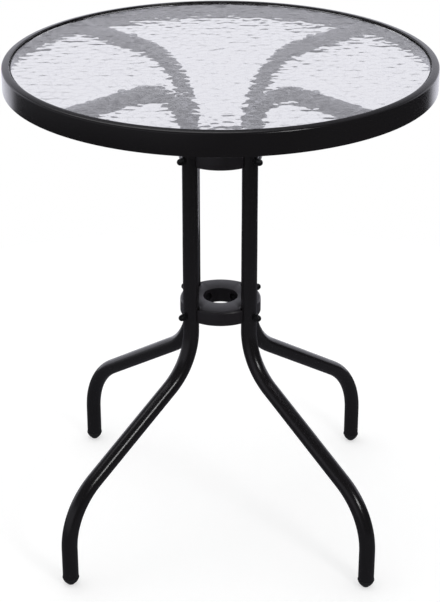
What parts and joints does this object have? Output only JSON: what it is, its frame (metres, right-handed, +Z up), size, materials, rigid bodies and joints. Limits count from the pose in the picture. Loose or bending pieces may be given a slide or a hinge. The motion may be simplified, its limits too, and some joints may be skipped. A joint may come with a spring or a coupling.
{
  "type": "umbrella table",
  "caption": "Round bistro table with rippled glass in a black steel rim, on bent tube legs held by two hubs bored for a parasol pole.",
  "frame": {"origin": "on the floor, under the middle of the table", "axes": "+Z up, -Y towards the viewer of the picture; the legs stand at 45 degrees between the axes"},
  "size_m": [0.6, 0.6, 0.72],
  "materials": {
    "frame_paint": "semi-gloss black powder coat",
    "glass": "clear tempered glass, rippled underneath",
    "seal": "soft black vinyl strip",
    "hub_plastic": "fine-grained charcoal moulding",
    "pad_rubber": "matt grey rubber",
    "foot_plastic": "satin black moulding",
    "fastener_steel": "black-coated steel"
  },
  "bodies": {
    "root": {"rim": "frame_paint", "glass_top": "glass", "glass_seal": "seal", "lower_hub": "hub_plastic", "upper_hub": "hub_plastic", "leg_back_right": "frame_paint", "leg_back_left": "frame_paint", "leg_front_left": "frame_paint", "leg_front_right": "frame_paint", "glass_pad_back_right": "pad_rubber", "glass_pad_back_left": "pad_rubber", "glass_pad_front_left": "pad_rubber", "glass_pad_front_right": "pad_rubber", "rim_spigot_back_right": "frame_paint", "rim_spigot_back_left": "frame_paint", "rim_spigot_front_left": "frame_paint", "rim_spigot_front_right": "frame_paint", "arm_screw_back_right": "fastener_steel", "arm_screw_back_left": "fastener_steel", "arm_screw_front_left": "fastener_steel", "arm_screw_front_right": "fastener_steel", "foot_cap_back_right": "foot_plastic", "foot_cap_back_left": "foot_plastic", "foot_cap_front_left": "foot_plastic", "foot_cap_front_right": "foot_plastic", "lower_bolt_back_right": "fastener_steel", "lower_bolt_back_left": "fastener_steel", "lower_bolt_front_left": "fastener_steel", "lower_bolt_front_right": "fastener_steel", "upper_bolt_back_right": "fastener_steel", "upper_bolt_back_left": "fastener_steel", "upper_bolt_front_left": "fastener_steel", "upper_bolt_front_right": "fastener_steel", "lower_cap_nut_back_right": "fastener_steel", "lower_cap_nut_back_left": "fastener_steel", "lower_cap_nut_front_left": "fastener_steel", "lower_cap_nut_front_right": "fastener_steel", "upper_cap_nut_back_right": "fastener_steel", "upper_cap_nut_back_left": "fastener_steel", "upper_cap_nut_front_left": "fastener_steel", "upper_cap_nut_front_right": "fastener_steel"}
  },
  "joints": []
}
